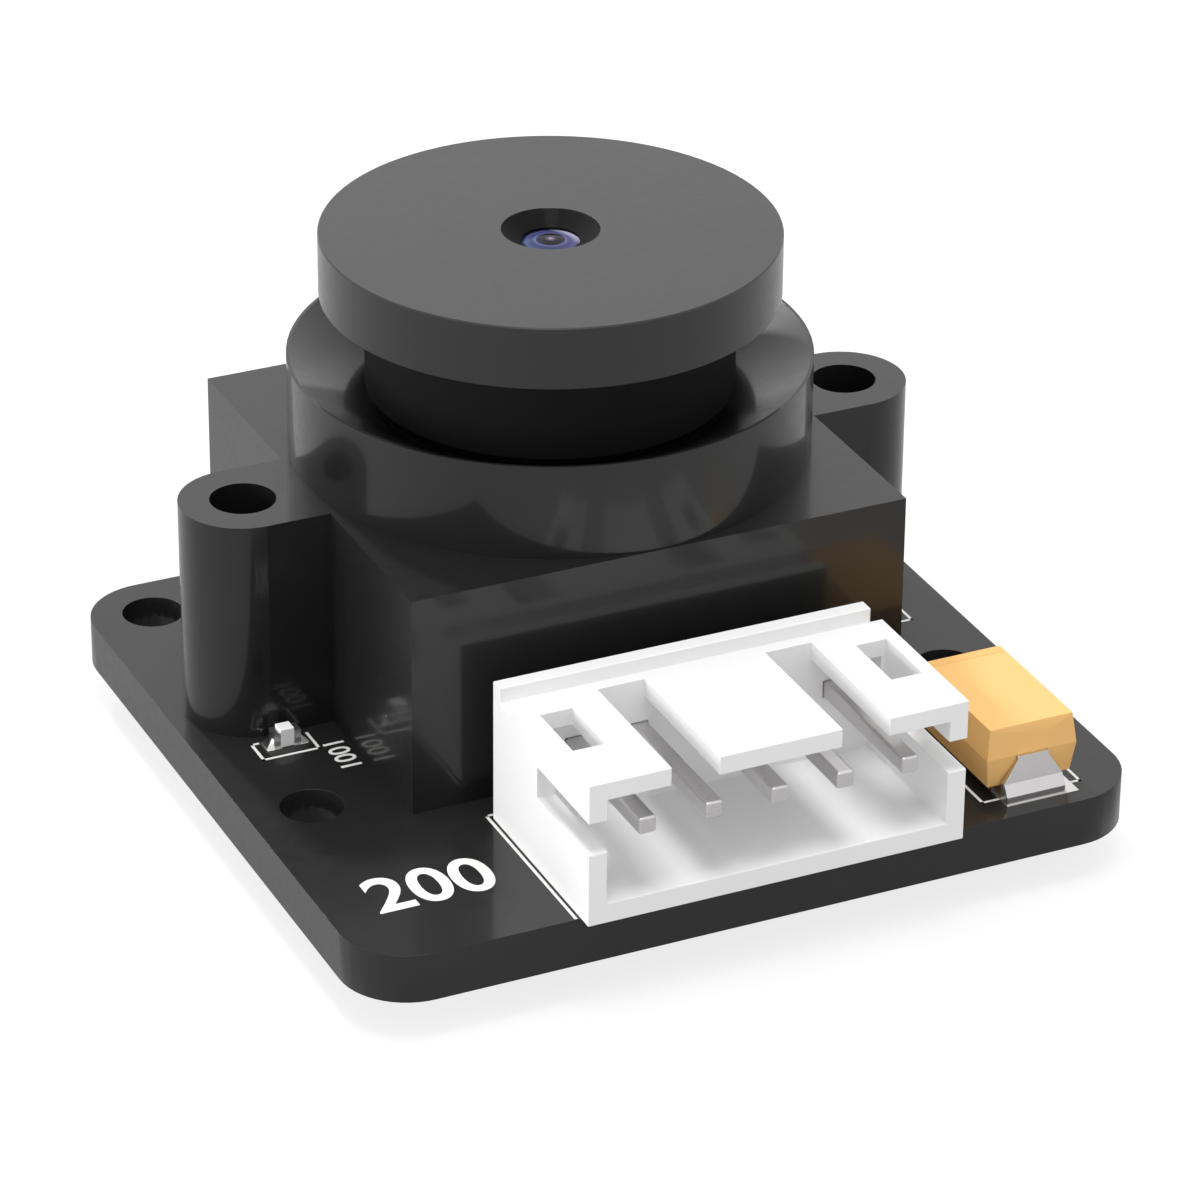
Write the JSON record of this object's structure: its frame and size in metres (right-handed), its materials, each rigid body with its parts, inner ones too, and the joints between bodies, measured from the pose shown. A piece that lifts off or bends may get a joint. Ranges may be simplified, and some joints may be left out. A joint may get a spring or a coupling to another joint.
{
  "type": "camera module",
  "caption": "Square black circuit board that carries a boxed lens holder with a wide round lens cap, a white side-entry wire socket and a yellow capacitor.",
  "frame": {"origin": "on the lens axis, in the plane of the circuit board's underside", "axes": "+Z out of the lens, -Y towards the wire socket's mouth, +X to the right when the socket faces the viewer"},
  "size_m": [0.03, 0.0294, 0.0201],
  "materials": {
    "solder_mask": "glossy black board with a smooth lacquer",
    "holder_black": "smooth moulded black plastic",
    "barrel_black": "fine satin black coat",
    "optic_glass": "polished glass with a blue and violet coating",
    "stop_black": "dull black",
    "spacer_metal": "dark anodised",
    "filter_glass": "polished glass, faintly blue-green",
    "sensor_ceramic": "plain dark package",
    "screw_steel": "bright plated steel",
    "socket_white": "smooth moulded white plastic",
    "tinned_metal": "bright tin plating",
    "capacitor_yellow": "smooth moulded yellow resin",
    "light_white": "milky resin",
    "chip_black": "dull moulded resin",
    "crystal_metal": "plated lid on a ceramic base",
    "chip_tan": "plain ceramic"
  },
  "bodies": {
    "root": {"circuit_board": "solder_mask", "lens_holder": "holder_black", "lens_barrel": "barrel_black", "front_lens": "optic_glass", "aperture_stop": "stop_black", "middle_lens": "optic_glass", "front_spacer": "spacer_metal", "inner_lens": "optic_glass", "rear_spacer": "spacer_metal", "rear_lens": "optic_glass", "retaining_ring": "spacer_metal", "infrared_filter": "filter_glass", "image_sensor": "sensor_ceramic", "sensor_glass": "optic_glass", "holder_screws": "screw_steel", "socket_shroud": "socket_white", "capacitor_lead_front": "tinned_metal", "capacitor_lead_back": "tinned_metal", "capacitor_body": "capacitor_yellow", "light_body": "light_white", "light_ends": "tinned_metal", "resistor_body": "chip_black", "resistor_ends": "tinned_metal", "image_processor": "chip_black", "memory_chip": "chip_black", "clock_crystal": "crystal_metal", "regulator_body": "chip_black", "regulator_leads": "tinned_metal", "sensor_capacitors": "chip_tan", "board_capacitors": "chip_tan", "contact_pin_1": "tinned_metal", "contact_pin_2": "tinned_metal", "contact_pin_3": "tinned_metal", "contact_pin_4": "tinned_metal", "contact_pin_5": "tinned_metal"}
  },
  "joints": []
}
